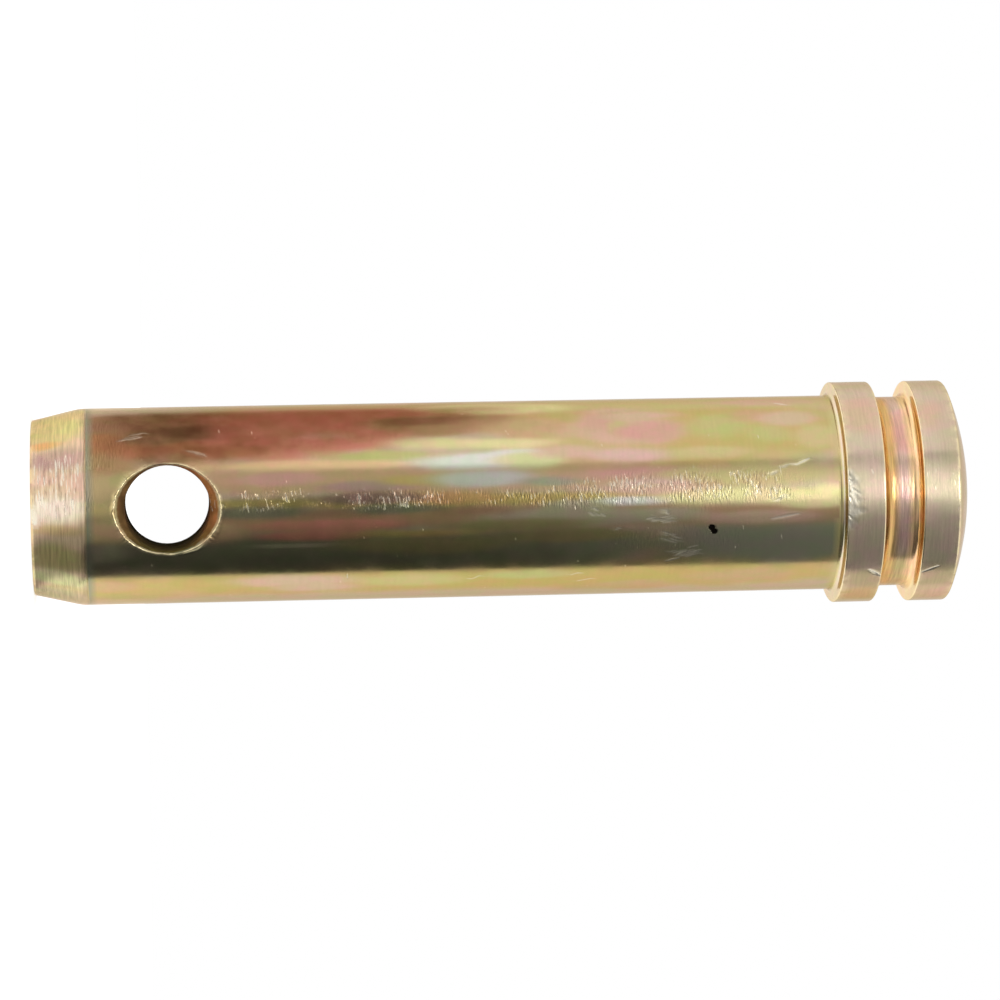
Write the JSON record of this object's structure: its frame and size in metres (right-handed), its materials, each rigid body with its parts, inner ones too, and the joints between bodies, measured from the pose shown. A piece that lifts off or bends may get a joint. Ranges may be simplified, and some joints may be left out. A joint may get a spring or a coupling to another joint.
{
  "type": "lower link pin",
  "caption": "Turned steel hitch pin with a tapered tip, a countersunk cross hole for a linch pin, and a collar with a grooved, domed head.",
  "frame": {"origin": "centre of the flat end face of the tapered tip, on which the pin stands", "axes": "+Z along the pin's axis from the tip to the domed head; the cross hole runs along Y"},
  "size_m": [0.0318, 0.0318, 0.1339],
  "materials": {
    "plated_steel": "yellow zinc plating over turned steel, iridescent gold, pink and green, nicked from handling"
  },
  "bodies": {
    "root": {"lower_link_pin": "plated_steel"}
  },
  "joints": []
}
